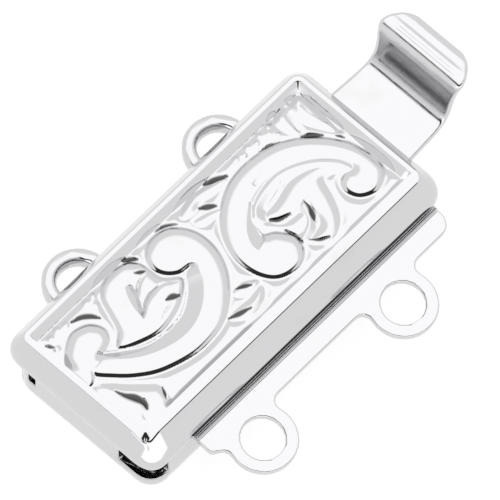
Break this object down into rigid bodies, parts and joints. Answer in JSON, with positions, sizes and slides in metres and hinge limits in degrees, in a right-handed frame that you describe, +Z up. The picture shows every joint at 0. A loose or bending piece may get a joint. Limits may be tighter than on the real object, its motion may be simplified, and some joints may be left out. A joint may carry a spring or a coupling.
{
  "type": "box clasp",
  "caption": "Long rectangular stamped box clasp with a scroll relief cover, a sliding tongue with a sprung thumb pad, and flat strand rings along both long sides.",
  "frame": {"origin": "centre of the case's underside", "axes": "+X along the case towards the thumb pad, +Y towards the case's own rings, +Z up through the scroll cover"},
  "size_m": [0.0259, 0.0158, 0.0068],
  "materials": {
    "case_silver": "polished silver plate on brass",
    "base_silver": "polished silver plate on brass",
    "tongue_silver": "mirror silver plate on brass",
    "leaf_silver": "mirror silver plate on brass"
  },
  "bodies": {
    "case": {"case_cover": "case_silver", "case_base": "base_silver"},
    "tongue": {"tongue_plate": "tongue_silver"},
    "leaf": {"spring_leaf": "leaf_silver"}
  },
  "joints": [
    {"name": "tongue_slide", "type": "slide", "parent": "case", "child": "tongue", "axis": [1, 0, 0], "range_m": [0, 0.021]},
    {"name": "leaf_press", "type": "hinge", "parent": "tongue", "child": "leaf", "pos_m": [-0.0087, 0, 0.00305], "axis": [0, 1, 0], "range_deg": [0, 1.7], "stiffness_Nm_per_rad": 0.05}
  ]
}
